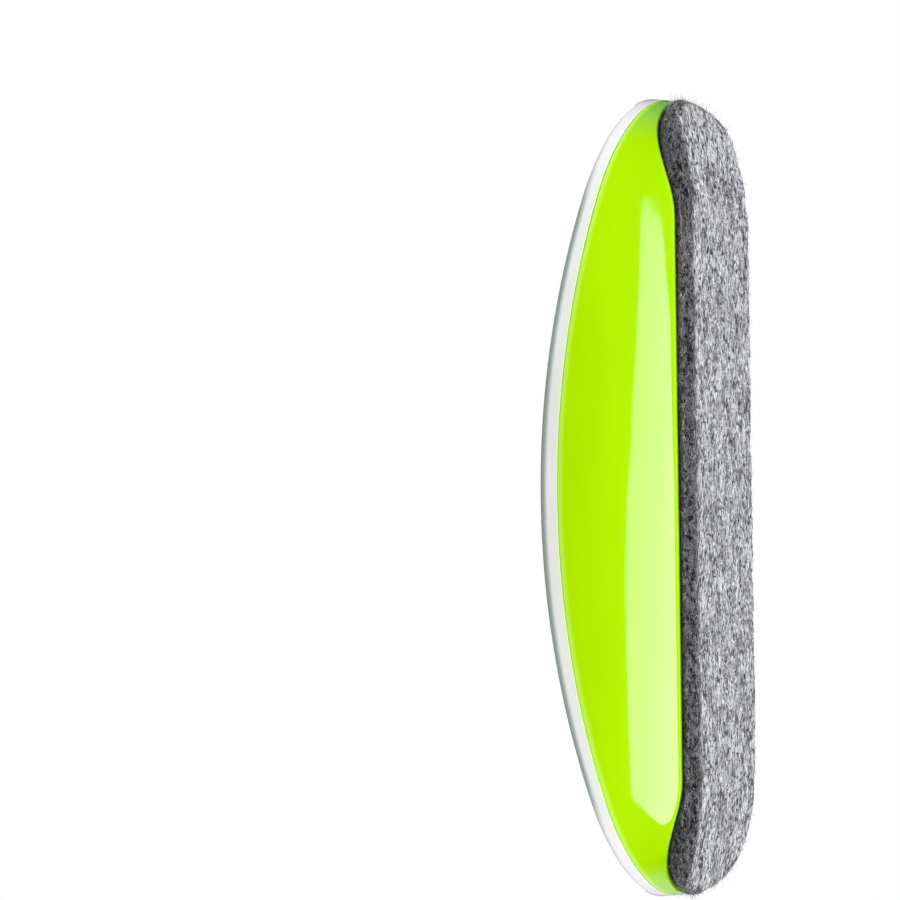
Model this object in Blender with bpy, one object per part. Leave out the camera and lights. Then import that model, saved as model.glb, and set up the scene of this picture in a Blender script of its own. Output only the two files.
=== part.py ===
"""Felt board eraser: an arched two-colour plastic handle over a thick felt pad.

X runs along the eraser, Y across it and Z up. The felt stands on z = 0, and the origin is
under the middle of the eraser. All lengths are in metres.
"""

import math

import bmesh
import bpy
from mathutils import Matrix, Vector

# Overall form
LENGTH = 0.1507           # plan length where the wall is widest
WIDTH = 0.050             # plan width there
SEAM_TOP = 0.0254         # underside of the cover, halfway along
ARCH_RADIUS = 0.180       # of that underside, seen from the side
COVER_THICKNESS = 0.0036  # halfway along
COVER_TAPER = 0.0012      # how much thinner the cover is at the tips
CROWN = 0.0008            # rise of the cover's middle line over its edges
END_LENGTH = 0.0205       # length of each rounded end, in plan
END_POWER = 2.35          # of the superellipse that rounds the ends; 2 is an ellipse
GAP = 0.0003              # clearance between neighbouring pieces

# Side wall
WALL = 0.0015
BELLY_HEIGHT = 0.017      # level at which the wall is widest
TUCK = 10.0               # curvature of the wall's section, per metre
RIM_HEIGHT = 0.0030       # lower edge of the wall along the straight sides
RIM_RISE = 0.0041         # how much higher that edge is at the ends
RIM_RISE_FROM = 0.051     # distances from the middle between which it rises
RIM_RISE_TO = 0.070
RIM_ROUNDING = 0.0005
WALL_STEPS = 9

# Felt, its adhesive film and the base plate
FLAT_REACH = 0.052        # the pad is flat up to this distance from the middle
FELT_THICKNESS = 0.005
FELT_LIFT = 0.0036        # height of the pad's lower face at the tips
FELT_CURVE = 1.5
FELT_SWELL = 0.0008       # how far the pad stands out below the wall that grips it
FELT_ROUNDING = 0.0008
FILM_THICKNESS = 0.0004
PLATE_THICKNESS = 0.002
PLATE_END_INSET = 0.0035  # the plate and film stop short of the low ends of the cover

# Fixing posts, sockets and stop ribs
POST_REACH = 0.020
POST_RADIUS = 0.0025
SOCKET_WALL = 0.0015
SOCKET_HEIGHT = 0.007
SKIRT_WIDTH = 0.0012
SKIRT_DEPTH = 0.0025
SKIRT_REACH = 0.046
RIB_REACHES = (-0.045, 0.0, 0.045)
RIB_WIDTH = 0.0012
RIB_DEPTH = 0.0015
RIB_TOP = 0.014

# Magnets
MAGNET_REACH = 0.038
MAGNET_RADIUS = 0.008
MAGNET_THICKNESS = 0.003
TAPE_THICKNESS = 0.0004
POCKET_WALL = 0.001
POCKET_HEIGHT = 0.0025

# Mesh fineness
END_STEPS = 18
SIDE_STEPS = 14
ROUND_STEPS = 3
ARC_STEPS = 24
CYLINDER_SIDES = 32
SETTLE_STEPS = 4          # passes in which a ring's height and inset settle
DISC_RINGS = (0.94, 0.88, 0.82, 0.76, 0.7, 0.55, 0.4, 0.25, 0.1)
FLAT_ANGLE = 0.002        # radians; neighbouring faces flatter than this become one

HALF_WIDTH = WIDTH / 2
STRAIGHT = LENGTH / 2 - END_LENGTH
ARCH_CENTRE = SEAM_TOP - ARCH_RADIUS
INNER_FIT = WALL + GAP
FILM_LEVEL = FELT_THICKNESS + GAP
PLATE_LEVEL = FILM_LEVEL + FILM_THICKNESS + GAP
PLATE_TOP = PLATE_LEVEL + PLATE_THICKNESS
EMBED = 0.0004            # how far joined shapes run into each other
SEAT_LEVEL = PLATE_TOP - EMBED


# ---- Rules that the surfaces follow -------------------------------------------------------

def stations():
    """Places round the plan outline: the centre of the end there, and the angle about it."""
    right = [(STRAIGHT, math.pi * (i / END_STEPS - 0.5)) for i in range(END_STEPS)]
    back = [(STRAIGHT * (1 - 2 * i / SIDE_STEPS), math.pi / 2) for i in range(SIDE_STEPS)]
    half = right + back
    return half + [(-centre, angle + math.pi) for centre, angle in half]


def swing(value):
    """A sine or cosine, reshaped for the superellipse."""
    return math.copysign(abs(value) ** (2 / END_POWER), value)


def outline_point(station, inset, end_inset=0.0):
    centre, angle = station
    x = centre + (END_LENGTH - inset - end_inset) * swing(math.cos(angle))
    y = (HALF_WIDTH - inset) * swing(math.sin(angle))
    return x, y


def tuck(z):
    """How far the wall has drawn in from its widest level."""
    return TUCK * (z - BELLY_HEIGHT) ** 2


def arch(x, above=0.0):
    """Height of the arc that lies a distance above the underside of the cover."""
    return ARCH_CENTRE + math.sqrt((ARCH_RADIUS + above) ** 2 - x * x)


def cover_thickness(x):
    return COVER_THICKNESS - COVER_TAPER * (2 * x / LENGTH) ** 2


def cover_top(x, y):
    return arch(x, cover_thickness(x)) + CROWN * (1 - (y / HALF_WIDTH) ** 2)


def rim(x):
    """Lower edge of the wall: level, then an easy rise towards each end."""
    t = (abs(x) - RIM_RISE_FROM) / (RIM_RISE_TO - RIM_RISE_FROM)
    t = min(max(t, 0.0), 1.0)
    return RIM_HEIGHT + RIM_RISE * t * t * (3 - 2 * t)


def felt_bottom(x):
    """Lower face of the pad: flat, then curling up towards each tip."""
    t = max(0.0, abs(x) - FLAT_REACH) / (LENGTH / 2 - FLAT_REACH)
    return FELT_LIFT * t ** FELT_CURVE


# ---- Mesh building ------------------------------------------------------------------------

def section(height, inset, tuck_level=None, end_inset=0.0):
    """A closed ring round the outline at height(x), drawn in by inset and the wall's tuck.

    The tuck is that of the ring's own height, or of tuck_level(x) where that is given.
    """
    ring = []
    for station in stations():
        drawn_in = inset
        for _ in range(SETTLE_STEPS):
            x, y = outline_point(station, drawn_in, end_inset)
            z = height(x)
            drawn_in = inset + tuck(tuck_level(x) if tuck_level else z)
        ring.append(Vector((x, y, z)))
    return ring


def disc_rings(ring, height):
    """Smaller and smaller copies of a ring, laid on the surface z = height(x, y)."""
    rings = []
    for scale in DISC_RINGS:
        rings.append([Vector((p.x * scale, p.y * scale, height(p.x * scale, p.y * scale)))
                      for p in ring])
    return rings


def loft(name, rings, joined=False):
    """A mesh object through the rings; closed with end faces, or joined into a loop."""
    mesh = bmesh.new()
    loops = [[mesh.verts.new(point) for point in ring] for ring in rings]
    pairs = list(zip(loops, loops[1:]))
    if joined:
        pairs.append((loops[-1], loops[0]))
    for lower, upper in pairs:
        for i in range(len(lower)):
            mesh.faces.new((lower[i - 1], lower[i], upper[i], upper[i - 1]))
    if not joined:
        mesh.faces.new(loops[0])
        mesh.faces.new(loops[-1])
    bmesh.ops.recalc_face_normals(mesh, faces=mesh.faces)
    bmesh.ops.dissolve_limit(mesh, angle_limit=FLAT_ANGLE, verts=mesh.verts, edges=mesh.edges)
    bmesh.ops.triangulate(mesh, faces=mesh.faces)
    return finish_mesh(name, mesh)


def cylinder(name, x, radius, low, high):
    mesh = bmesh.new()
    place = Matrix.Translation((x, 0.0, (low + high) / 2))
    bmesh.ops.create_cone(mesh, cap_ends=True, segments=CYLINDER_SIDES, radius1=radius,
                          radius2=radius, depth=high - low, matrix=place)
    return finish_mesh(name, mesh)


def block(name, low, high):
    mesh = bmesh.new()
    low, high = Vector(low), Vector(high)
    size = high - low
    place = Matrix.Translation((low + high) / 2) @ Matrix.Diagonal((*size, 1.0))
    bmesh.ops.create_cube(mesh, size=1.0, matrix=place)
    return finish_mesh(name, mesh)


def finish_mesh(name, mesh):
    data = bpy.data.meshes.new(name)
    mesh.to_mesh(data)
    mesh.free()
    data.shade_smooth()
    data.set_sharp_from_angle(angle=math.radians(35))
    return bpy.data.objects.new(name, data)


def add_boolean(target, tool, operation):
    """Combine a target with a hidden tool object."""
    modifier = target.modifiers.new(tool.name, 'BOOLEAN')
    modifier.operation = operation
    modifier.object = tool
    tool.hide_render = True
    tool.display_type = 'WIRE'
    cutters.objects.link(tool)


def add_part(obj, colour, roughness, metallic=0.0):
    material = bpy.data.materials.new(obj.name + "_finish")
    material.use_nodes = True
    shader = material.node_tree.nodes["Principled BSDF"]
    shader.inputs["Base Color"].default_value = (*colour, 1.0)
    shader.inputs["Roughness"].default_value = roughness
    shader.inputs["Metallic"].default_value = metallic
    obj.data.materials.append(material)
    parts.objects.link(obj)


# ---- Sub-parts ----------------------------------------------------------------------------

def make_top_cover():
    """The arched, slightly crowned cover, with a skirt and two posts under it."""
    rounding = 0.0012
    chamfer = 0.0003
    under = section(arch, chamfer)
    rings = [under, section(lambda x: arch(x, chamfer), 0.0)]
    for i in range(ROUND_STEPS + 1):
        angle = math.pi / 2 * i / ROUND_STEPS
        drop = rounding * (1 - math.sin(angle))
        rings.append(section(lambda x: arch(x, cover_thickness(x) - drop),
                             rounding * (1 - math.cos(angle))))
    for point in rings[-1]:
        point.z = cover_top(point.x, point.y)
    inner_top = disc_rings(rings[-1], cover_top)
    inner_under = disc_rings(under, lambda x, y: arch(x))
    cover = loft("top_cover", inner_under[::-1] + rings + inner_top)
    for x, name in ((-POST_REACH, "left"), (POST_REACH, "right")):
        post = cylinder("post_" + name, x, POST_RADIUS, PLATE_TOP + GAP, arch(x) + EMBED)
        add_boolean(cover, post, 'UNION')
    for side, name in ((-1, "front"), (1, "back")):
        add_boolean(cover, make_skirt("skirt_" + name, side), 'UNION')
    add_part(cover, (0.80, 0.83, 0.80), 0.22)


def make_skirt(name, side):
    """A curved bar under the cover that locates it between the walls."""
    outer = HALF_WIDTH - tuck(arch(0.0)) - INNER_FIT
    low = arch(0.0) - SKIRT_DEPTH
    high = arch(0.0) + EMBED
    corners = [(outer, low), (outer, high), (outer - SKIRT_WIDTH, high),
               (outer - SKIRT_WIDTH, low)]
    reach = math.asin(SKIRT_REACH / ARCH_RADIUS)
    centre = Vector((0.0, 0.0, ARCH_CENTRE))
    mesh = bmesh.new()
    profile = mesh.faces.new([mesh.verts.new((0.0, side * y, z)) for y, z in corners])
    bmesh.ops.rotate(mesh, verts=mesh.verts, cent=centre,
                     matrix=Matrix.Rotation(-reach, 3, 'Y'))
    bmesh.ops.spin(mesh, geom=mesh.verts[:] + mesh.edges[:] + [profile], cent=centre,
                   axis=(0.0, 1.0, 0.0), angle=2 * reach, steps=ARC_STEPS)
    bmesh.ops.recalc_face_normals(mesh, faces=mesh.faces)
    return finish_mesh(name, mesh)


def make_body_shell():
    """The coloured side wall, an open ring whose section bellies out."""
    def level(step):
        share = step / WALL_STEPS
        return lambda x: rim(x) + (arch(x) - GAP - rim(x)) * share

    outer = [section(level(step), 0.0) for step in range(WALL_STEPS + 1)]
    inner = [section(level(step), WALL) for step in range(WALL_STEPS, -1, -1)]
    outer[0] = section(lambda x: rim(x) + RIM_ROUNDING, 0.0)
    lower_edge = section(rim, RIM_ROUNDING)
    shell = loft("body_shell", [lower_edge] + outer + inner, joined=True)
    for side, row in ((-1, "front"), (1, "back")):
        for x, place in zip(RIB_REACHES, ("left", "middle", "right")):
            add_boolean(shell, make_rib(f"rib_{row}_{place}", x, side), 'UNION')
    add_part(shell, (0.43, 0.80, 0.0), 0.16)


def make_rib(name, x, side):
    """A short rib on the wall's inner face, which stops the base plate from above."""
    low = PLATE_TOP + GAP
    wall_face = HALF_WIDTH - tuck(low) - WALL
    far = side * (wall_face + EMBED)
    near = side * (wall_face - RIB_DEPTH)
    return block(name, (x - RIB_WIDTH / 2, min(near, far), low),
                 (x + RIB_WIDTH / 2, max(near, far), RIB_TOP))


def over_felt(level):
    """The height rule of a surface that lies a level above the pad's lower face."""
    return lambda x: felt_bottom(x) + level


def make_curved_plate(name, level, thickness, inset, tuck_level=None):
    """A plate of even thickness that follows the pad's curve."""
    low, high = over_felt(level), over_felt(level + thickness)
    edge = [section(rule, inset, tuck_level, PLATE_END_INSET) for rule in (low, high)]
    under = disc_rings(edge[0], lambda x, y: low(x))
    over = disc_rings(edge[1], lambda x, y: high(x))
    return loft(name, under[::-1] + edge + over)


def add_cup(plate, name, x, radius, wall, height):
    """A round upstand on the plate, with a hole that runs slightly into the plate."""
    top = PLATE_TOP + height
    upstand = cylinder(name, x, radius + wall, SEAT_LEVEL - EMBED, top)
    hole = cylinder(name + "_hole", x, radius, SEAT_LEVEL, top + EMBED)
    add_boolean(plate, upstand, 'UNION')
    add_boolean(plate, hole, 'DIFFERENCE')


def make_base_plate():
    """The stiff plate that carries the felt, with post sockets and magnet pockets."""
    plate = make_curved_plate("base_plate", PLATE_LEVEL, PLATE_THICKNESS, INNER_FIT)
    hole = POST_RADIUS + GAP
    pocket = MAGNET_RADIUS + GAP
    for side, name in ((-1, "left"), (1, "right")):
        post_x, magnet_x = side * POST_REACH, side * MAGNET_REACH
        add_cup(plate, "socket_" + name, post_x, hole, SOCKET_WALL, SOCKET_HEIGHT)
        add_cup(plate, "pocket_" + name, magnet_x, pocket, POCKET_WALL, POCKET_HEIGHT)
    add_part(plate, (0.12, 0.12, 0.12), 0.5)


def make_magnets():
    """A disc magnet in each pocket, on a disc of double-sided tape."""
    for side, name in ((-1, "left"), (1, "right")):
        x = side * MAGNET_REACH
        tape_low = SEAT_LEVEL + GAP
        tape_high = tape_low + TAPE_THICKNESS
        magnet_low = tape_high + GAP
        tape = cylinder("magnet_tape_" + name, x, MAGNET_RADIUS - GAP, tape_low, tape_high)
        magnet = cylinder("magnet_" + name, x, MAGNET_RADIUS, magnet_low,
                          magnet_low + MAGNET_THICKNESS)
        add_part(tape, (0.75, 0.72, 0.62), 0.6)
        add_part(magnet, (0.05, 0.05, 0.055), 0.55)


def make_felt():
    """The wiping pad and the adhesive film that holds it to the base plate."""
    film = make_curved_plate("felt_adhesive", FILM_LEVEL, FILM_THICKNESS, INNER_FIT, rim)
    add_part(film, (0.80, 0.76, 0.60), 0.5)

    swollen = INNER_FIT - FELT_SWELL
    rings = []
    for i in range(ROUND_STEPS + 1):
        angle = math.pi / 2 * i / ROUND_STEPS
        rise = FELT_ROUNDING * (1 - math.cos(angle))
        draw = FELT_ROUNDING * (1 - math.sin(angle))
        rings.append(section(over_felt(rise), swollen + draw, rim))
    shoulder = GAP + FELT_SWELL
    rings.append(section(lambda x: rim(x) - shoulder, swollen, rim))
    rings.append(section(lambda x: rim(x) - GAP, INNER_FIT, rim))
    top = over_felt(FELT_THICKNESS)
    rings.append(section(top, INNER_FIT, rim))
    under = disc_rings(rings[0], lambda x, y: felt_bottom(x))
    over = disc_rings(rings[-1], lambda x, y: top(x))
    pad = loft("felt_pad", under[::-1] + rings + over)
    add_part(pad, (0.38, 0.39, 0.42), 1.0)


def main():
    for obj in list(bpy.data.objects):
        bpy.data.objects.remove(obj)
    scene = bpy.context.scene
    scene.collection.children.link(parts)
    scene.collection.children.link(cutters)
    make_top_cover()
    make_body_shell()
    make_base_plate()
    make_magnets()
    make_felt()


parts = bpy.data.collections.new("board_eraser")
cutters = bpy.data.collections.new("cutters")
main()
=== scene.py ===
import math
import random

import bmesh
import bpy
from mathutils import Matrix, Vector, noise


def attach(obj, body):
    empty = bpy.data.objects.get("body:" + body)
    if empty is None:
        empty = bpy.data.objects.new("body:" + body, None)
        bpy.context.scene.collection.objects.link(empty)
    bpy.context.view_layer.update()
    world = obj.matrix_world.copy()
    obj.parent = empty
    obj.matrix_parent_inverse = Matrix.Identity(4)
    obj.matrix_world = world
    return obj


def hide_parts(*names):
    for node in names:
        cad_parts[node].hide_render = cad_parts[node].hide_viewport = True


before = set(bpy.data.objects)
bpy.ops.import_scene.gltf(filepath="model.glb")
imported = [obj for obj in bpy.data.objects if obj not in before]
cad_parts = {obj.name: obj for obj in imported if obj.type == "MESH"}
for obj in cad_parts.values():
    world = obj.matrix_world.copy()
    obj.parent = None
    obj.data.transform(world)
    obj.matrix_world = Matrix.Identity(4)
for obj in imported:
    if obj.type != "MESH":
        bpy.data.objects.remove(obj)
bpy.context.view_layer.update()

# Board eraser: an arched white cover over a coloured wall and a thick felt pad.
# X runs along the eraser, Y across it and Z up; every length is in metres.

# ---- Sizes shared with the CAD part --------------------------------------------------------

LENGTH = 0.1507
WIDTH = 0.050
SEAM_TOP = 0.0254         # underside of the cover, halfway along
ARCH_RADIUS = 0.180       # of that underside, seen from the side
COVER_THICKNESS = 0.0036  # halfway along
COVER_TAPER = 0.0012      # how much thinner the cover is at the tips
CROWN = 0.0008            # rise of the cover's middle line over its edges
END_LENGTH = 0.0205       # length of each rounded end, in plan
END_POWER = 2.35          # of the superellipse that rounds the ends
GAP = 0.0003
WALL = 0.0015
BELLY_HEIGHT = 0.017      # level at which the wall is widest
TUCK = 10.0               # curvature of the wall's section, per metre
RIM_HEIGHT = 0.0030
RIM_RISE = 0.0041
RIM_RISE_FROM = 0.051
RIM_RISE_TO = 0.070
FLAT_REACH = 0.052        # the pad is flat up to this distance from the middle
FELT_THICKNESS = 0.005
FELT_LIFT = 0.0036
FELT_CURVE = 1.5
POST_REACH = 0.020
POST_RADIUS = 0.0025
SKIRT_WIDTH = 0.0012
SKIRT_DEPTH = 0.0025
SKIRT_REACH = 0.046
RIB_REACHES = (-0.045, 0.0, 0.045)
RIB_WIDTH = 0.0012
RIB_DEPTH = 0.0015
RIB_TOP = 0.014
EMBED = 0.0004
HALF_WIDTH = WIDTH / 2
STRAIGHT = LENGTH / 2 - END_LENGTH
ARCH_CENTRE = SEAM_TOP - ARCH_RADIUS
INNER_FIT = WALL + GAP

# ---- Sizes of the finished surfaces --------------------------------------------------------

PLATE_TOP = 0.0083        # 0.3 mm over the CAD plate; posts and ribs end a gap above this level
RIM_ROUNDING = 0.00025    # of the wall's lower edge, half of the CAD part's, so that it reads crisp
FELT_POWER = 3.1          # the pad's lower edge has squarer ends than the moulding
FELT_SWELL = 0.0014       # how far the pad springs out past the wall's inner line; CAD has 0.0008
FELT_ROUNDING = 0.0015    # of the pad's worn lower corner; CAD has 0.0008
COVER_ROUNDING = 0.0012
COVER_LIP = 0.00006       # rounding of the cover's lower edge
SEAM_CLOSED = 0.00004     # open line between wall and cover where the cover sits tight
SEAM_OPEN = 0.00009       # and towards one end, where it sits a hair proud
SEAM_OPENS_FROM = 0.015   # where along X the line starts to open
SEAM_OPENS_OVER = 0.035   # and over what length
WALL_LIP = 0.00022        # rounding of the wall's upper outer edge
SETTLE_STEPS = 4          # passes in which a ring's height and inset settle
PLASTIC_END_STEPS = 30    # points in a quarter of an end
PLASTIC_SIDE_STEPS = 72   # points along a straight side
FELT_END_STEPS = 40
FELT_SIDE_STEPS = 230
LIP_STEPS = 4
WALL_LEVELS = 30
INNER_LEVELS = 8
COVER_LEVELS = 6
CROWN_RINGS = 16
FACE_RINGS = 50
FELT_TOP_RINGS = 8
MERGE_DISTANCE = 1e-6     # for the doubled points on a closed disc's middle line
MIDLINE_SHARE = 0.72      # how far a disc's middle line reaches, of the whole length

random.seed(41)


# ---- Rules that the surfaces follow --------------------------------------------------------

def swing(value):
    """A sine or cosine, reshaped for the superellipse."""
    return math.copysign(abs(value) ** (2 / END_POWER), value)


def tuck(z):
    """How far the wall has drawn in from its widest level."""
    return TUCK * (z - BELLY_HEIGHT) ** 2


def arch(x, above=0.0):
    """Height of the arc that lies a distance above the underside of the cover."""
    return ARCH_CENTRE + math.sqrt((ARCH_RADIUS + above) ** 2 - x * x)


def cover_top(x, y):
    thickness = COVER_THICKNESS - COVER_TAPER * (2 * x / LENGTH) ** 2
    return arch(x, thickness) + CROWN * (1 - (y / HALF_WIDTH) ** 2)


def ease(value):
    """A smooth step from 0 to 1."""
    t = min(max(value, 0.0), 1.0)
    return t * t * (3 - 2 * t)


def rim(x):
    """Lower edge of the wall: level, then an easy rise towards each end."""
    return RIM_HEIGHT + RIM_RISE * ease((abs(x) - RIM_RISE_FROM) / (RIM_RISE_TO - RIM_RISE_FROM))


def felt_bottom(x):
    """Lower face of the pad: flat, then curling up towards each tip."""
    t = max(0.0, abs(x) - FLAT_REACH) / (LENGTH / 2 - FLAT_REACH)
    return FELT_LIFT * t ** FELT_CURVE


def squared(plan, power):
    """A point of the plan outline, moved on to the superellipse of another power."""
    beyond = (abs(plan.x) - STRAIGHT) / END_LENGTH
    if beyond <= 0.0:
        return plan
    turn = END_POWER / power
    x = math.copysign(STRAIGHT + END_LENGTH * beyond ** turn, plan.x)
    y = math.copysign(HALF_WIDTH * abs(plan.y / HALF_WIDTH) ** turn, plan.y)
    return Vector((x, y, 0.0))


def drawn_in(plan, inset):
    """A point of the plan outline, moved in by an inset."""
    beyond = max(0.0, abs(plan.x) - STRAIGHT)
    x = math.copysign(abs(plan.x) - beyond * inset / END_LENGTH, plan.x)
    return x, plan.y * (1 - inset / HALF_WIDTH)


def settled(plan, height, inset, tuck_level=None):
    """Where an outline point lies at height(x, y), drawn in by inset and the wall's tuck."""
    total = inset
    for _ in range(SETTLE_STEPS):
        x, y = drawn_in(plan, total)
        z = height(x, y)
        total = inset + tuck(tuck_level(x) if tuck_level else z)
    return Vector((x, y, z))


# ---- Modelling helpers ---------------------------------------------------------------------

def start_outline(end_steps, side_steps, first_rule):
    """A mesh that holds one closed loop of edges round the plan outline."""
    mesh = bmesh.new()
    plan = mesh.verts.layers.float_vector.new("plan")
    segments = 4 * end_steps
    half_step = Matrix.Rotation(math.pi / segments, 4, 'Z')
    bmesh.ops.create_circle(mesh, segments=segments, radius=1.0, matrix=half_step)
    for vert in mesh.verts:
        centre = math.copysign(STRAIGHT, vert.co.x)
        vert.co = (centre + END_LENGTH * swing(vert.co.x), HALF_WIDTH * swing(vert.co.y), 0.0)
    sides = [e for e in mesh.edges if e.verts[0].co.x * e.verts[1].co.x < 0]
    bmesh.ops.subdivide_edges(mesh, edges=sides, cuts=side_steps - 1)
    for vert in mesh.verts:
        vert[plan] = vert.co
        vert.co = first_rule(vert[plan])
    return mesh, plan, mesh.edges[:]


def grow(mesh, plan, loop, rule):
    """Extrudes an open loop, and places its new points by a rule on their plan points."""
    made = bmesh.ops.extrude_edge_only(mesh, edges=loop)["geom"]
    verts = {item for item in made if isinstance(item, bmesh.types.BMVert)}
    for vert in verts:
        vert.co = rule(vert[plan])
    return [item for item in made if isinstance(item, bmesh.types.BMEdge)
            and item.verts[0] in verts and item.verts[1] in verts]


def close_over(mesh, plan, loop, edge_rule, height, rings, reach=MIDLINE_SHARE):
    """Covers an open loop with rings that shrink on to the middle line."""
    for step in range(1, rings + 1):
        share = 1 - step / rings

        def rule(point, share=share):
            edge = edge_rule(point)
            x = edge.x * (reach + (1 - reach) * share)
            y = edge.y * share
            return Vector((x, y, height(x, y)))

        loop = grow(mesh, plan, loop, rule)
    middle = list({vert for edge in loop for vert in edge.verts})
    bmesh.ops.remove_doubles(mesh, verts=middle, dist=MERGE_DISTANCE)


def quarter(step, steps):
    """Sine and cosine of a step's share of a right angle."""
    angle = math.pi / 2 * step / steps
    return math.sin(angle), math.cos(angle)


def add_object(name, data):
    """A new object in the scene that holds the data."""
    made = bpy.data.objects.new(name, data)
    bpy.context.scene.collection.objects.link(made)
    return made


def mesh_data(name, mesh):
    """The finished mesh of an edited one."""
    data = bpy.data.meshes.new(name)
    mesh.to_mesh(data)
    mesh.free()
    return data


def finish_piece(name, mesh, node):
    """Makes an object of a mesh that stands for a CAD node."""
    bmesh.ops.recalc_face_normals(mesh, faces=mesh.faces)
    data = mesh_data(name, mesh)
    data.shade_smooth()
    piece = add_object(name, data)
    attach(piece, "root")
    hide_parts(node)
    return piece


# ---- The wall ------------------------------------------------------------------------------

def wall_top(x, y):
    """Upper edge of the wall; the seam above it opens slightly towards one end."""
    return arch(x) - SEAM_CLOSED - (SEAM_OPEN - SEAM_CLOSED) * ease((x - SEAM_OPENS_FROM) / SEAM_OPENS_OVER)


def make_wall():
    """The coloured side wall: a closed ring with rounded rims, and stop ribs inside it."""
    def low_edge(step):
        rise, run = quarter(step, LIP_STEPS)
        return lambda p: settled(p, lambda x, y: rim(x) + RIM_ROUNDING * (1 - run),
                                 RIM_ROUNDING * (1 - rise))

    def level(share, inset):
        def height(x, y):
            bottom = rim(x) + RIM_ROUNDING
            return bottom + (wall_top(x, y) - WALL_LIP - bottom) * share
        return lambda p: settled(p, height, inset)

    def high_edge(step):
        rise, run = quarter(step, LIP_STEPS)
        return lambda p: settled(p, lambda x, y: wall_top(x, y) - WALL_LIP * (1 - rise),
                                 WALL_LIP * (1 - run))

    rules = [low_edge(step) for step in range(1, LIP_STEPS + 1)]
    rules += [level(step / WALL_LEVELS, 0.0) for step in range(1, WALL_LEVELS + 1)]
    rules += [high_edge(step) for step in range(1, LIP_STEPS + 1)]
    rules.append(lambda p: settled(p, wall_top, WALL))
    rules += [level(1 - step / INNER_LEVELS, WALL) for step in range(INNER_LEVELS + 1)]
    rules.append(lambda p: settled(p, lambda x, y: rim(x), WALL))
    mesh, plan, loop = start_outline(PLASTIC_END_STEPS, PLASTIC_SIDE_STEPS, low_edge(0))
    first = loop
    for rule in rules:
        loop = grow(mesh, plan, loop, rule)
    bmesh.ops.bridge_loops(mesh, edges=first + loop)
    for side in (-1, 1):
        for x in RIB_REACHES:
            add_rib(mesh, x, side)
    return finish_piece("side_wall", mesh, "body_shell")


def add_rib(mesh, x, side):
    """A short rib on the wall's inner face, which stops the base plate from above."""
    low = PLATE_TOP + GAP
    far = HALF_WIDTH - tuck(low) - WALL + EMBED
    size = Vector((RIB_WIDTH, RIB_DEPTH + EMBED, RIB_TOP - low))
    centre = Vector((x, side * (far - size.y / 2), (low + RIB_TOP) / 2))
    place = Matrix.Translation(centre) @ Matrix.Diagonal((*size, 1.0))
    bmesh.ops.create_cube(mesh, size=1.0, matrix=place)


# ---- The cover -----------------------------------------------------------------------------

def make_cover():
    """The arched, slightly crowned cover, with a skirt and two posts under it."""
    def lip(step):
        rise, run = quarter(step, LIP_STEPS)
        return lambda p: settled(p, lambda x, y: arch(x, COVER_LIP * (1 - run)),
                                 COVER_LIP * (1 - rise))

    def side(share):
        def height(x, y):
            low = arch(x, COVER_LIP)
            return low + (cover_top(x, y) - COVER_ROUNDING - low) * share
        return lambda p: settled(p, height, 0.0)

    def shoulder(step):
        rise, run = quarter(step, 2 * LIP_STEPS)
        return lambda p: settled(p, lambda x, y: cover_top(x, y) - COVER_ROUNDING * (1 - rise),
                                 COVER_ROUNDING * (1 - run))

    mesh, plan, first = start_outline(PLASTIC_END_STEPS, PLASTIC_SIDE_STEPS, lip(0))
    loop = first
    rules = [lip(step) for step in range(1, LIP_STEPS + 1)]
    rules += [side(step / COVER_LEVELS) for step in range(1, COVER_LEVELS + 1)]
    rules += [shoulder(step) for step in range(1, 2 * LIP_STEPS + 1)]
    for rule in rules:
        loop = grow(mesh, plan, loop, rule)
    close_over(mesh, plan, loop, shoulder(2 * LIP_STEPS), cover_top, CROWN_RINGS)
    close_over(mesh, plan, first, lip(0), lambda x, y: arch(x), CROWN_RINGS)
    for x in (-POST_REACH, POST_REACH):
        low, high = PLATE_TOP + GAP, arch(x) + EMBED
        place = Matrix.Translation((x, 0.0, (low + high) / 2))
        bmesh.ops.create_cone(mesh, cap_ends=True, segments=32, radius1=POST_RADIUS,
                              radius2=POST_RADIUS, depth=high - low, matrix=place)
    for side_sign in (-1, 1):
        add_skirt(mesh, side_sign)
    return finish_piece("arched_cover", mesh, "top_cover")


def add_skirt(mesh, side):
    """A curved bar under the cover that locates it between the walls."""
    outer = HALF_WIDTH - tuck(arch(0.0)) - INNER_FIT
    size = Vector((0.0, SKIRT_WIDTH, SKIRT_DEPTH + EMBED))
    middle = Vector((0.0, side * (outer - SKIRT_WIDTH / 2), arch(0.0) + EMBED - size.z / 2))
    place = Matrix.Translation(middle) @ Matrix.Rotation(math.pi / 2, 4, 'Y')
    face = bmesh.ops.create_grid(mesh, x_segments=1, y_segments=1, size=0.5,
                                 matrix=place @ Matrix.Diagonal((size.z, size.y, 1.0, 1.0)))
    centre = Vector((0.0, 0.0, ARCH_CENTRE))
    reach = math.asin(SKIRT_REACH / ARCH_RADIUS)
    bmesh.ops.rotate(mesh, verts=face["verts"], cent=centre,
                     matrix=Matrix.Rotation(-reach, 3, 'Y'))
    edges = list({edge for vert in face["verts"] for edge in vert.link_edges})
    faces = list({f for vert in face["verts"] for f in vert.link_faces})
    bmesh.ops.spin(mesh, geom=face["verts"] + edges + faces, cent=centre,
                   axis=(0.0, 1.0, 0.0), angle=2 * reach, steps=24)


# ---- The felt ------------------------------------------------------------------------------

LIE_CLEAR = 0.00010       # the pressed face keeps this far off the board for its loose fibres
FELT_SIDE_LEVELS = 8
HOLLOW_DEPTH = 0.00030
TUFT_DEPTH = 0.00022
LOWEST_SHARE = 0.4        # of LIE_CLEAR, the least height of any point of the pad
SEATED_MARGIN = 1e-5      # points above the seat under the wall, or this close to it, stay smooth


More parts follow.
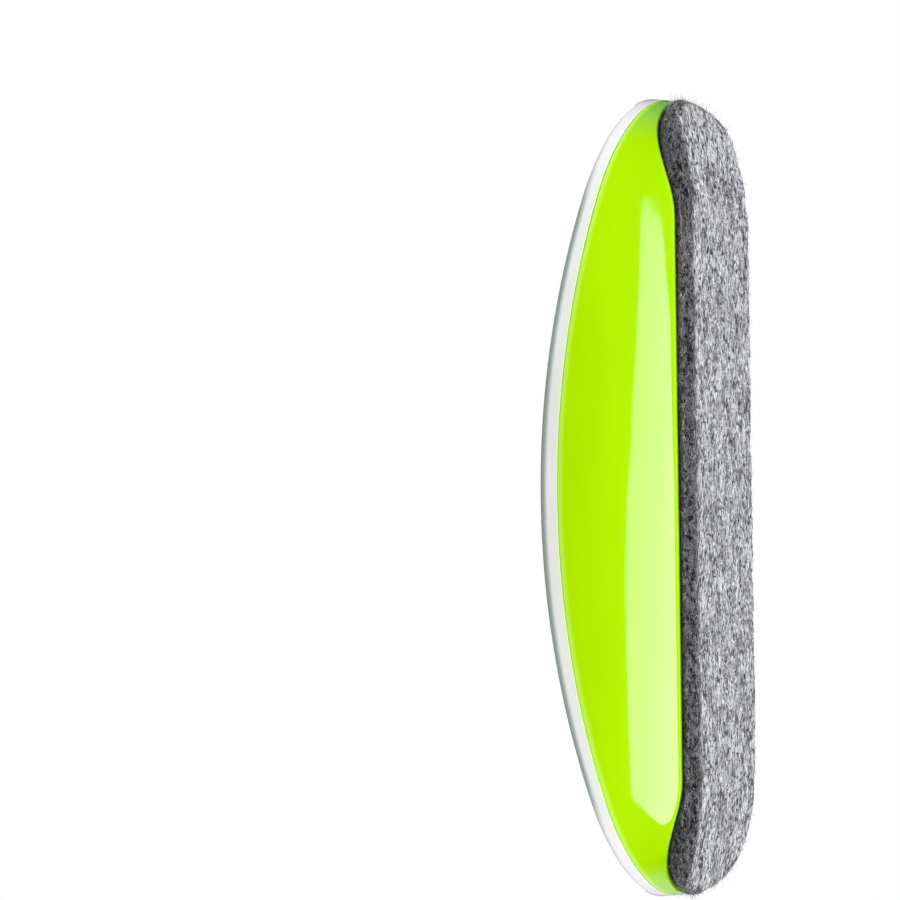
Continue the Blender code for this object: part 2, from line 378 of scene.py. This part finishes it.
def roughened(point):
    """How far pressed felt stands proud at a point: slow hollows and small tufts."""
    slow = noise.noise(point * 160.0)
    tufts = noise.noise(Vector((point.x * 500.0, point.y * 1100.0, point.z * 1100.0)))
    fine = noise.noise(Vector((point.x * 1300.0, point.y * 2600.0, point.z * 2600.0)))
    return HOLLOW_DEPTH * slow + TUFT_DEPTH * tufts + 0.5 * TUFT_DEPTH * fine


def make_felt():
    """The wiping pad: a thick pressed slab with a swollen, furry cut edge."""
    swollen = INNER_FIT - FELT_SWELL

    def under(x, y):
        return felt_bottom(x) + LIE_CLEAR

    def edge(step):
        rise, run = quarter(step, 2 * LIP_STEPS)
        return lambda p: settled(squared(p, FELT_POWER),
                                 lambda x, y: under(x, y) + FELT_ROUNDING * (1 - run),
                                 swollen + FELT_ROUNDING * (1 - rise), rim)

    def side(share):
        def height(x, y):
            low = under(x, y) + FELT_ROUNDING
            return low + (rim(x) - GAP - FELT_SWELL / 2 - low) * share
        power = FELT_POWER + (END_POWER - FELT_POWER) * share * share
        return lambda p: settled(squared(p, power), height, swollen, rim)

    def top(x, y):
        return felt_bottom(x) + FELT_THICKNESS

    mesh, plan, first = start_outline(FELT_END_STEPS, FELT_SIDE_STEPS, edge(0))
    loop = first
    for step in range(1, 2 * LIP_STEPS + 1):
        loop = grow(mesh, plan, loop, edge(step))
    for step in range(1, FELT_SIDE_LEVELS + 1):
        loop = grow(mesh, plan, loop, side(step / FELT_SIDE_LEVELS))
    loop = grow(mesh, plan, loop,
                lambda p: settled(p, lambda x, y: rim(x) - GAP, swollen + FELT_SWELL / 2, rim))
    loop = grow(mesh, plan, loop, lambda p: settled(p, lambda x, y: rim(x), INNER_FIT, rim))
    loop = grow(mesh, plan, loop, lambda p: settled(p, top, INNER_FIT, rim))
    close_over(mesh, plan, loop, lambda p: settled(p, top, INNER_FIT, rim), top,
               FELT_TOP_RINGS)
    close_over(mesh, plan, first, edge(0), under, FACE_RINGS)
    bmesh.ops.recalc_face_normals(mesh, faces=mesh.faces)
    mesh.normal_update()
    shaped = []
    for vert in mesh.verts:
        hidden = vert.co.z > rim(vert.co.x) - GAP - SEATED_MARGIN
        proud = 0.0 if hidden else roughened(vert.co)
        shaped.append((vert, vert.co + vert.normal * proud))
    for vert, place in shaped:
        vert.co = place
        vert.co.z = max(vert.co.z, LOWEST_SHARE * LIE_CLEAR)
    piece = finish_piece("felt_slab", mesh, "felt_pad")
    return piece


# ---- Loose fibres --------------------------------------------------------------------------

EDGE_FIBRES = 6500
FACE_FIBRES = 6500
FIBRE_STEPS = 3
FIBRE_RADIUS = 0.000036
FIBRE_TAPER = 0.6         # how much thinner a fibre is at its tip
STANDING_LENGTHS = (0.35, 0.45, 0.6, 0.6, 0.8, 1.2, 1.7)   # in millimetres, short ones often
MILLIMETRE = 1e-3
ROOT_DEPTH = 0.00008      # how deep a standing fibre starts in the felt
BOW_RISE = 0.00005        # of a lying fibre's middle
BOW_SINK = 0.00003        # of its ends, below the face
DOWNWARD = -0.9           # a normal below this belongs to the wiping face


def fibre_roots(felt):
    """Points and normals of the pad's cut edge, and of its wiping face."""
    cut, face = [], []
    for vert in felt.data.vertices:
        x, y, z = vert.co
        if z > rim(x) - GAP:
            continue
        if vert.normal.z < DOWNWARD:
            face.append((vert.co.copy(), vert.normal.copy()))
        else:
            cut.append((vert.co.copy(), vert.normal.copy()))
    return cut, face


def make_fibres(name, roots, count, rule):
    """Short loose fibres as one mesh. rule(point, normal) gives a fibre's line and radius."""
    curve = bpy.data.curves.new(name, 'CURVE')
    curve.dimensions = '3D'
    curve.bevel_depth = 1.0
    curve.bevel_resolution = 0
    curve.use_fill_caps = True
    for _ in range(count):
        point, normal = random.choice(roots)
        line, radius = rule(point, normal)
        spline = curve.splines.new('POLY')
        spline.points.add(len(line) - 1)
        for i, place in enumerate(line):
            spline.points[i].co = (*place, 1.0)
            spline.points[i].radius = radius * (1 - FIBRE_TAPER * i / (len(line) - 1))
    guide = add_object(name + "_lines", curve)
    seen = guide.evaluated_get(bpy.context.evaluated_depsgraph_get())
    data = bpy.data.meshes.new_from_object(seen)
    data.name = name
    bpy.data.objects.remove(guide)
    bpy.data.curves.remove(curve)
    data.materials.clear()
    data.shade_smooth()
    piece = add_object(name, data)
    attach(piece, "root")
    return piece


def loose_direction():
    """A direction that mostly follows the felt's grain, along X."""
    angle = random.gauss(0.0, 0.75)
    lean = random.gauss(0.0, 0.35)
    way = random.choice((-1.0, 1.0))
    return Vector((way * math.cos(angle), math.sin(angle), lean)).normalized()


def standing_fibre(point, normal):
    """A fibre that stands out of the cut edge and curls over."""
    out = (normal * random.uniform(0.25, 1.0) + loose_direction() * random.uniform(0.4, 1.3))
    out.normalize()
    length = random.choice(STANDING_LENGTHS) * MILLIMETRE * random.uniform(0.7, 1.2)
    curl = loose_direction() * length * random.uniform(0.1, 0.5)
    start = point - normal * ROOT_DEPTH
    line = []
    for i in range(FIBRE_STEPS + 1):
        t = i / FIBRE_STEPS
        place = start + out * length * t + curl * t * t
        place.z = max(place.z, FIBRE_RADIUS)
        line.append(place)
    return line, FIBRE_RADIUS * random.uniform(0.6, 1.1)


def lying_fibre(point, normal):
    """A fibre pressed into the wiping face, showing as a low arc."""
    along = loose_direction()
    along -= normal * along.dot(normal)
    along.normalize()
    length = random.uniform(0.5, 1.5) * MILLIMETRE
    side = normal.cross(along) * length * random.uniform(-0.25, 0.25)
    line = []
    for i in range(FIBRE_STEPS + 1):
        t = i / FIBRE_STEPS
        bow = 4 * t * (1 - t)
        place = point + along * length * (t - 0.5) + side * bow
        place += normal * (BOW_RISE * bow - BOW_SINK)
        place.z = max(place.z, FIBRE_RADIUS)
        line.append(place)
    return line, FIBRE_RADIUS * random.uniform(0.7, 1.4)


# ---- Finishes ------------------------------------------------------------------------------

class Value:
    """One output of a finish's nodes, which can be used in formulas."""

    def __init__(self, finish, socket):
        self.finish = finish
        self.socket = socket

    def maths(self, operation, *terms):
        return self.finish.node('ShaderNodeMath', {"operation": operation},
                                dict(enumerate(terms)))

    def __add__(self, other):
        return self.maths('ADD', self, other)

    def __sub__(self, other):
        return self.maths('SUBTRACT', self, other)

    def __rsub__(self, other):
        return self.maths('SUBTRACT', other, self)

    def __mul__(self, other):
        return self.maths('MULTIPLY', self, other)

    def __pow__(self, other):
        return self.maths('POWER', self, other)

    def root(self):
        return self.maths('SQRT', self)

    def size(self):
        return self.maths('ABSOLUTE', self)

    def larger(self, other):
        return self.maths('MAXIMUM', self, other)

    def between(self, low, high, to_low=0.0, to_high=1.0):
        """A smooth step from to_low to to_high as the value goes from low to high."""
        return self.finish.node('ShaderNodeMapRange', {"interpolation_type": 'SMOOTHSTEP'},
                                {"Value": self, "From Min": low, "From Max": high,
                                 "To Min": to_low, "To Max": to_high})


class Finish:
    """A material, a world or a lamp's nodes being put together."""

    def __init__(self, owner):
        owner.use_nodes = True
        self.tree = owner.node_tree
        self.tree.nodes.clear()
        self.owner = owner

    def node(self, kind, settings=None, inputs=None, output=0):
        """Adds a node with its settings, then its sockets' values or links."""
        node = self.tree.nodes.new(kind)
        for name, value in (settings or {}).items():
            if name == "stops":
                self.set_stops(node.color_ramp, value)
            else:
                setattr(node, name, value)
        for name, value in (inputs or {}).items():
            if isinstance(value, Value):
                self.tree.links.new(value.socket, node.inputs[name])
            else:
                node.inputs[name].default_value = value
        if not node.outputs:
            return None
        return Value(self, node.outputs[output])

    def set_stops(self, ramp, stops):
        while len(ramp.elements) < len(stops):
            ramp.elements.new(0.5)
        for element, (place, colour) in zip(ramp.elements, stops):
            element.position = place
            element.color = (*colour, 1.0)

    def place(self):
        """The point on the piece, in metres."""
        return self.node('ShaderNodeTexCoord', output="Object")

    def split(self, vector):
        parts = self.node('ShaderNodeSeparateXYZ', None, {0: vector})
        return [Value(self, socket) for socket in parts.socket.node.outputs]

    def grain(self, vector, scale, detail=2.0, roughness=0.5, turn=(0.0, 0.0, 0.0)):
        """Noise with a scale for each axis, in features per metre."""
        mapped = self.node('ShaderNodeMapping', {"vector_type": 'POINT'},
                           {"Vector": vector, "Rotation": turn, "Scale": scale})
        return self.node('ShaderNodeTexNoise', None,
                         {"Vector": mapped, "Scale": 1.0, "Detail": detail,
                          "Roughness": roughness})

    def mix(self, share, first, second):
        """A colour between two colours."""
        return self.node('ShaderNodeMix', {"data_type": 'RGBA', "clamp_factor": True},
                         {0: share, 6: first, 7: second}, output=2)

    def relief(self, strength, distance, height):
        """A bumped normal; the distance is the depth of full relief, in metres."""
        return self.node('ShaderNodeBump', None,
                         {"Strength": strength, "Distance": distance, "Height": height})

    def surface(self, **sockets):
        """Finishes with a Principled shader, whose socket names have _ for spaces."""
        named = {name.replace("_", " "): value for name, value in sockets.items()}
        shader = self.node('ShaderNodeBsdfPrincipled', None, named)
        self.node('ShaderNodeOutputMaterial', None, {"Surface": shader})
        return self.owner


def rgb(red, green, blue):
    return (red, green, blue, 1.0)


def new_finish(name):
    return Finish(bpy.data.materials.new(name))


def dress(piece, material):
    piece.data.materials.clear()
    piece.data.materials.append(material)


def dress_node(name, material):
    """Gives a CAD node its finish."""
    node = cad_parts[name]
    if node.material_slots:
        for place in node.material_slots:
            place.material = material
    else:
        node.data.materials.append(material)


def lime_plastic():
    """Glossy lime moulded plastic, with slight flow clouding and sink in the wall; some shade and highlight
    are painted into its colour.
    """
    f = new_finish("lime_plastic")
    p = f.place()
    x, _, z = f.split(p)
    clouds = f.grain(p, (40.0, 40.0, 90.0), 3.0)
    deep = rgb(0.425, 0.81, 0.0)
    clear = rgb(0.445, 0.84, 0.0)
    colour = f.mix(clouds.between(0.3, 0.7), deep, clear)
    # Painted shade: the wall's colour is darkened towards its lower rim.
    colour = f.mix(z.between(0.0145, 0.0065), colour, rgb(0.385, 0.745, 0.0))
    # Painted shade and reflection: a darker teal tint towards the +X tip.
    colour = f.mix(x.between(0.0645, 0.0745, 0.0, 0.85), colour, rgb(0.23, 0.64, 0.13))
    below_seam = ARCH_RADIUS - (x * x + (z - ARCH_CENTRE) ** 2.0).root()
    # Painted highlight: a pale green line on the wall just below the seam.
    painted_seam_highlight = below_seam.between(0.0014, 0.0003)
    colour = f.mix(painted_seam_highlight, colour, rgb(0.57, 0.95, 0.085))
    sink = f.grain(p, (38.0, 38.0, 60.0), 1.0)
    skin = f.grain(p, (900.0, 900.0, 900.0), 2.0)
    bump = f.relief(1.0, 0.00010, sink + skin * 0.006)
    return f.surface(Base_Color=colour, Roughness=skin * 0.05 + 0.035, Normal=bump)


def white_plastic():
    """Glossy white plastic with a green glow from the wall painted into its colour near the seam."""
    f = new_finish("white_plastic")
    p = f.place()
    x, y, z = f.split(p)
    over = (x * x + (z - ARCH_CENTRE) ** 2.0).root() - ARCH_RADIUS
    clouds = f.grain(p, (60.0, 60.0, 60.0), 3.0)
    white = f.mix(clouds.between(0.3, 0.7), rgb(0.82, 0.83, 0.83), rgb(0.86, 0.865, 0.86))
    # Painted reflected light: a green tint on the cover just above the seam.
    glow = over.between(0.0011, 0.0, 0.0, 0.9)
    colour = f.mix(glow, white, rgb(0.78, 0.90, 0.55))
    # Painted light: the cover turns paler and cooler towards both ends.
    colour = f.mix(x.size().between(0.054, 0.068), colour, rgb(0.92, 0.92, 0.95))
    below_top = x * x * (-4 * COVER_TAPER / LENGTH ** 2) + COVER_THICKNESS - over
    reach = y.size() + (z - BELLY_HEIGHT) ** 2.0 * TUCK
    # Painted shade: a dark grey-green line along the cover's upper outer rounding, fading towards the ends.
    shoulder = below_top.between(0.0017, 0.0008) * reach.between(0.0238, 0.0243)
    shoulder = shoulder * x.size().between(0.062, 0.050, 0.0, 0.8)
    colour = f.mix(shoulder, colour, rgb(0.31, 0.40, 0.32))
    sink = f.grain(p, (35.0, 35.0, 35.0), 1.0)
    skin = f.grain(p, (800.0, 800.0, 800.0), 2.0)
    bump = f.relief(1.0, 0.00008, sink + skin * 0.006)
    return f.surface(Base_Color=colour, Roughness=skin * 0.06 + 0.06, Normal=bump)


def felt_cloth():
    """Grey melange felt: pale and dark fibres along X, darker on its side faces, with painted shade round
    the front lower corner and in the gaps between fibres.
    """
    f = new_finish("grey_felt")
    p = f.place()
    y = f.split(p)[1]
    warp = f.node('ShaderNodeTexNoise', None, {"Vector": p, "Scale": 420.0, "Detail": 2.0},
                  output="Color")
    sway = f.node('ShaderNodeVectorMath', {"operation": 'MULTIPLY_ADD'},
                  {0: warp, 1: (0.0012, 0.0012, 0.0012), 2: p})
    straight = f.grain(sway, (700.0, 800.0, 1500.0), 3.0, 0.75)
    turned = f.grain(sway, (800.0, 1200.0, 1800.0), 3.0, 0.7, (0.0, 0.0, 0.7))
    turned_back = f.grain(sway, (800.0, 1200.0, 1800.0), 3.0, 0.7, (0.0, 0.0, -0.6))
    fibres = straight * 0.46 + turned * 0.29 + turned_back * 0.25
    mottle = f.grain(p, (130.0, 200.0, 400.0), 3.0, 0.65)
    gaps = f.grain(sway, (900.0, 1000.0, 1700.0), 2.0, 0.6, (0.0, 0.0, 0.2))
    shade = (fibres - 0.5) * 5.0 + 0.66 + (mottle - 0.5) * 1.9
    # Painted shade: dark gaps between the fibres, where the felt's hollows lie in shadow.
    shade = shade - gaps.between(0.52, 0.63, 0.0, 0.85)
    tint = f.node('ShaderNodeValToRGB',
                  {"stops": [(0.0, (0.03, 0.03, 0.036)), (0.25, (0.16, 0.16, 0.18)),
                             (0.55, (0.39, 0.395, 0.42)), (0.95, (0.76, 0.765, 0.80))]},
                  {0: shade})
    facing = f.node('ShaderNodeNewGeometry', output="Normal")
    down = f.split(facing)[2]
    ragged = (f.grain(sway, (350.0, 1500.0, 1500.0), 3.0, 0.7) - 0.5) * 2.4
    # Darker on the side faces, which do not face down.
    cut = (down + ragged).between(-1.05, -0.45)
    # Painted shade: on the front side (negative Y) the darkening also covers the lower corner and the edge
    # of the wiping face.
    cut = cut.larger((y + ragged * 0.0022).between(-0.0191, -0.0207))
    dark = f.node('ShaderNodeHueSaturation', None, {"Value": 0.15, "Color": tint})
    colour = f.mix(cut * 0.97, tint, dark)
    bump = f.relief(0.9, 0.00018, fibres)
    return f.surface(Base_Color=colour, Roughness=shade * 0.1 + 0.85, Normal=bump,
                     Specular_IOR_Level=0.06, Sheen_Weight=0.15, Sheen_Roughness=0.5)


def fibre_finish(name, dark, pale):
    """Loose fibres, whose shade changes from one to the next."""
    f = new_finish(name)
    shade = f.grain(f.place(), (700.0, 1500.0, 1500.0), 1.0)
    colour = f.mix(shade.between(0.35, 0.65), dark, pale)
    return f.surface(Base_Color=colour, Roughness=0.95, Specular_IOR_Level=0.03)


def black_plastic():
    """The base plate: black moulded plastic with a fine spark texture."""
    f = new_finish("black_plastic")
    p = f.place()
    spark = f.grain(p, (3000.0, 3000.0, 3000.0), 3.0)
    clouds = f.grain(p, (60.0, 60.0, 60.0), 2.0)
    colour = f.mix(clouds, rgb(0.018, 0.018, 0.019), rgb(0.034, 0.034, 0.036))
    bump = f.relief(0.5, 0.00006, spark)
    return f.surface(Base_Color=colour, Roughness=spark * 0.2 + 0.4, Normal=bump)


def ferrite():
    """Pressed ferrite magnets: near-black, with faint grinding lines."""
    f = new_finish("ferrite")
    p = f.place()
    lines = f.grain(p, (300.0, 9000.0, 9000.0), 2.0)
    colour = f.mix(lines, rgb(0.035, 0.035, 0.038), rgb(0.075, 0.075, 0.08))
    bump = f.relief(0.4, 0.00003, lines)
    return f.surface(Base_Color=colour, Roughness=lines * 0.2 + 0.42, Normal=bump)


def tape_finish(name, first, second):
    """Adhesive film with a papery, slightly uneven coat."""
    f = new_finish(name)
    p = f.place()
    coat = f.grain(p, (500.0, 500.0, 500.0), 4.0)
    colour = f.mix(coat.between(0.3, 0.7), first, second)
    bump = f.relief(0.4, 0.00004, coat)
    return f.surface(Base_Color=colour, Roughness=coat * 0.2 + 0.45, Normal=bump)


# ---- Studio --------------------------------------------------------------------------------

CAMERA_AZIMUTH = math.radians(-0.93)
CAMERA_ELEVATION = math.radians(-20.27)
CAMERA_ROLL = math.radians(-0.70)
CAMERA_TARGET = Vector((0.00956, 0.0, 0.05511))
CAMERA_DISTANCE = 0.5
CAMERA_LENS = 102.2
SENSOR = 36.0


def make_camera():
    """A long lens on the front, below the object, turned so that X runs up the picture."""
    flat = math.cos(CAMERA_ELEVATION)
    back = Vector((math.sin(CAMERA_AZIMUTH) * flat, -math.cos(CAMERA_AZIMUTH) * flat,
                   math.sin(CAMERA_ELEVATION)))
    right = (-back).cross(Vector((1.0, 0.0, 0.0))).normalized()
    up = right.cross(-back)
    turn = Matrix((right, up, back)).transposed() @ Matrix.Rotation(CAMERA_ROLL, 3, 'Z')
    data = bpy.data.cameras.new("camera")
    data.sensor_width = SENSOR
    data.lens = CAMERA_LENS
    data.clip_start = 0.01
    camera = add_object("camera", data)
    camera.matrix_world = (Matrix.Translation(CAMERA_TARGET + back * CAMERA_DISTANCE)
                           @ turn.to_4x4())
    bpy.context.scene.camera = camera


# Strengths of the surroundings, for the light they give and for what gloss mirrors.
FILL_ABOVE_FRONT = 0.34
FILL_ABOVE_BACK = 1.25
FILL_BELOW_BACK = 0.35
FILL_BELOW_FRONT = 1.64
FLOOR_GLOSS = 0.55
DARK_GLOSS = 0.012
SIDE_GLOSS = 1.5


def make_world():
    """A white backdrop and a fill from front below and back above; gloss sees its own room.

    That room is dark above a pale floor, with a level bright patch at the back left.
    """
    f = Finish(bpy.data.worlds.new("studio"))
    bpy.context.scene.world = f.owner
    path = f.node('ShaderNodeLightPath').socket.node.outputs
    direction = f.node('ShaderNodeTexCoord', output="Generated")
    side, depth, height = f.split(direction)
    below = depth.between(0.4, -0.5, FILL_BELOW_BACK, FILL_BELOW_FRONT)
    above = depth.between(-0.2, 0.6, FILL_ABOVE_FRONT, FILL_ABOVE_BACK)
    strength = height.between(0.25, -0.15) * (below - above) + above
    left = (depth - side).between(0.75, 1.38) * height.size().between(0.35, 0.04)
    mirrored = height.between(-0.30, -0.55, DARK_GLOSS, FLOOR_GLOSS) + left * SIDE_GLOSS
    backdrop = f.node('ShaderNodeBackground', None, {"Color": rgb(1, 1, 1), "Strength": 1.0})
    fill = f.node('ShaderNodeBackground', None,
                  {"Color": rgb(0.99, 1.0, 1.0), "Strength": strength})
    gloss = f.node('ShaderNodeBackground', None,
                   {"Color": rgb(1, 1, 1), "Strength": mirrored})
    lit = f.node('ShaderNodeMixShader', None,
                 {0: Value(f, path["Is Glossy Ray"]), 1: fill, 2: gloss})
    whole = f.node('ShaderNodeMixShader', None,
                   {0: Value(f, path["Is Camera Ray"]), 1: lit, 2: backdrop})
    f.node('ShaderNodeOutputWorld', None, {"Surface": whole})


FLOOR_RADIUS = 1.6
FLOOR_DROP = 0.0002       # how far the floor lies below the eraser
CONTACT_REACH = 0.030     # how far out the shade of contact spreads over the floor


def make_floor():
    """A pale floor, clear from below, with a contact shadow painted into its colour where it lies near the
    eraser.

    Only the camera sees it: it neither lights nor shades the eraser.
    """
    mesh = bmesh.new()
    bmesh.ops.create_circle(mesh, cap_ends=True, segments=96, radius=FLOOR_RADIUS,
                            matrix=Matrix.Translation((0.0, 0.0, -FLOOR_DROP)))
    data = mesh_data("floor", mesh)
    floor = add_object("floor", data)
    f = new_finish("floor_paint")
    clouds = f.grain(f.place(), (3.0, 3.0, 3.0), 2.0)
    colour = f.mix(clouds, rgb(0.86, 0.86, 0.86), rgb(0.88, 0.88, 0.88))
    # Painted contact shadow: an occlusion node darkens the floor near the eraser.
    open_sky = f.node('ShaderNodeAmbientOcclusion', {"samples": 8}, {"Distance": CONTACT_REACH},
                      output="AO")
    colour = f.mix(open_sky.between(0.1, 1.0), rgb(0.20, 0.20, 0.20), colour)
    paint = f.node('ShaderNodeBsdfDiffuse', None, {"Color": colour})
    clear = f.node('ShaderNodeBsdfTransparent')
    reverse = f.node('ShaderNodeNewGeometry', output="Backfacing")
    both = f.node('ShaderNodeMixShader', None, {0: reverse, 1: paint, 2: clear})
    f.node('ShaderNodeOutputMaterial', None, {"Surface": both})
    data.materials.append(f.owner)
    for name in ("visible_diffuse", "visible_glossy", "visible_transmission",
                 "visible_shadow"):
        setattr(floor, name, False)


KEY_DISTANCE = 0.5
KEY_CORNERS = ((0.108, -0.020), (0.070, 0.000), (-0.030, 0.066), (-0.112, 0.052),
               (-0.130, 0.018), (-0.290, -0.062), (-0.118, -0.165), (0.000, -0.165),
               (0.100, -0.090))
KEY_ROUNDING = 0.010      # of its corners
KEY_STRENGTH = (5.2, 9.6)   # at its high end and at its low end


def make_key():
    """A hung soft panel in front, brighter towards its low end; it makes the long highlight."""
    mesh = bmesh.new()
    verts = [mesh.verts.new((x, -KEY_DISTANCE, z)) for x, z in KEY_CORNERS]
    mesh.faces.new(verts)
    bmesh.ops.bevel(mesh, geom=mesh.verts[:], offset=KEY_ROUNDING, affect='VERTICES', segments=4,
                    profile=0.5, material=-1)
    data = mesh_data("key_panel", mesh)
    panel = add_object("key_panel", data)
    f = new_finish("key_glow")
    x, _, z = f.split(f.place())
    fall = (z * -1.0 - x * 0.6).between(-0.06, 0.20, *KEY_STRENGTH)
    glow = f.node('ShaderNodeEmission', None,
                  {"Color": rgb(0.85, 0.87, 1.0), "Strength": fall})
    f.node('ShaderNodeOutputMaterial', None, {"Surface": glow})
    data.materials.append(f.owner)
    panel.visible_camera = False
    panel.visible_diffuse = False


LAMP_AIM = Vector((0.0, 0.0, 0.012))
LAMP_SIZE = (0.5, 0.5)


def make_lamp(name, azimuth, elevation, distance, size, radiance, glossy):
    """A rectangular soft light that faces the object."""
    data = bpy.data.lights.new(name, 'AREA')
    data.shape = 'RECTANGLE'
    data.size, data.size_y = size
    data.energy = radiance * math.pi * size[0] * size[1]
    lamp = add_object(name, data)
    azimuth, elevation = math.radians(azimuth), math.radians(elevation)
    away = Vector((math.sin(azimuth) * math.cos(elevation),
                   -math.cos(azimuth) * math.cos(elevation), math.sin(elevation)))
    turn = away.to_track_quat('Z', 'Y').to_matrix().to_4x4()
    lamp.matrix_world = Matrix.Translation(LAMP_AIM + away * distance) @ turn
    lamp.visible_camera = False
    lamp.visible_glossy = glossy


def make_studio():
    make_camera()
    make_world()
    make_floor()
    make_key()
    make_lamp("left_back_lamp", -150.0, 35.0, 0.9, LAMP_SIZE, 2.6, True)
    make_lamp("right_back_lamp", 150.0, 35.0, 0.9, LAMP_SIZE, 2.6, True)
    make_lamp("under_lamp", 10.0, -62.0, 0.7, LAMP_SIZE, 1.6, False)
    view = bpy.context.scene.view_settings
    view.view_transform = 'Standard'
    view.look = 'None'


# ---- Everything ----------------------------------------------------------------------------

make_studio()
dress(make_wall(), lime_plastic())
dress(make_cover(), white_plastic())
felt_piece = make_felt()
dress(felt_piece, felt_cloth())
cut_roots, face_roots = fibre_roots(felt_piece)
pale_fibre = fibre_finish("pale_fibre", rgb(0.34, 0.34, 0.36), rgb(0.70, 0.70, 0.74))
dark_fibre = fibre_finish("dark_fibre", rgb(0.05, 0.05, 0.055), rgb(0.16, 0.16, 0.17))
cut_fibre = fibre_finish("cut_fibre", rgb(0.08, 0.08, 0.08), rgb(0.62, 0.62, 0.60))
dress(make_fibres("felt_edge_fibres", cut_roots, EDGE_FIBRES, standing_fibre), cut_fibre)
dress(make_fibres("felt_pale_fibres", face_roots, FACE_FIBRES, lying_fibre), pale_fibre)
dress(make_fibres("felt_dark_fibres", face_roots, FACE_FIBRES, lying_fibre), dark_fibre)
dress_node("base_plate", black_plastic())
film = tape_finish("film_adhesive", rgb(0.74, 0.70, 0.54), rgb(0.82, 0.78, 0.62))
backing = tape_finish("tape_backing", rgb(0.68, 0.66, 0.58), rgb(0.78, 0.76, 0.68))
dress_node("felt_adhesive", film)
magnet = ferrite()
for side_name in ("left", "right"):
    dress_node("magnet_" + side_name, magnet)
    dress_node("magnet_tape_" + side_name, backing)
